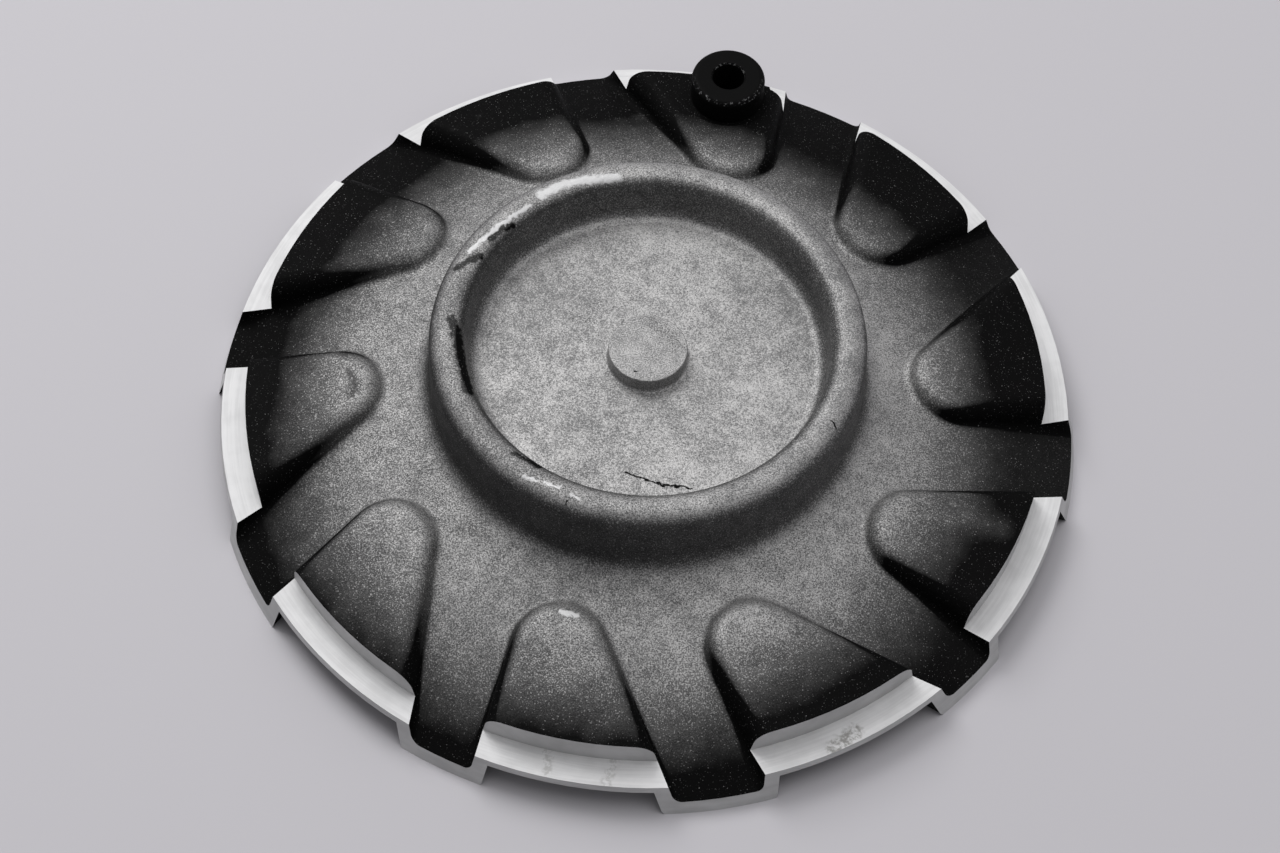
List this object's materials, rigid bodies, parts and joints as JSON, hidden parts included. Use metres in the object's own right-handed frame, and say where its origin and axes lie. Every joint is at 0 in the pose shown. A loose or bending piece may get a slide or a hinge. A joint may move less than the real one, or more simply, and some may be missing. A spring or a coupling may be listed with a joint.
{
  "type": "wheel center cap",
  "caption": "Round cast aluminium wheel center cap, seen from its back: swept lobes and troughs around a tall hub ring, a turned rim and a black bush near the edge.",
  "frame": {"origin": "on the cap's axis, in the plane that the ends of the front spokes rest on", "axes": "+Z along the axis, out of the back of the cap; the bush lies near +Y, turned a little towards +X"},
  "size_m": [0.2154, 0.2145, 0.0382],
  "materials": {
    "cast_aluminium": "raw casting, misted black towards the rim, with bright turned lands",
    "black_bush": "matte black, scuffed at the top edge"
  },
  "bodies": {
    "root": {"cap_casting": "cast_aluminium", "mounting_bush": "black_bush"}
  },
  "joints": []
}
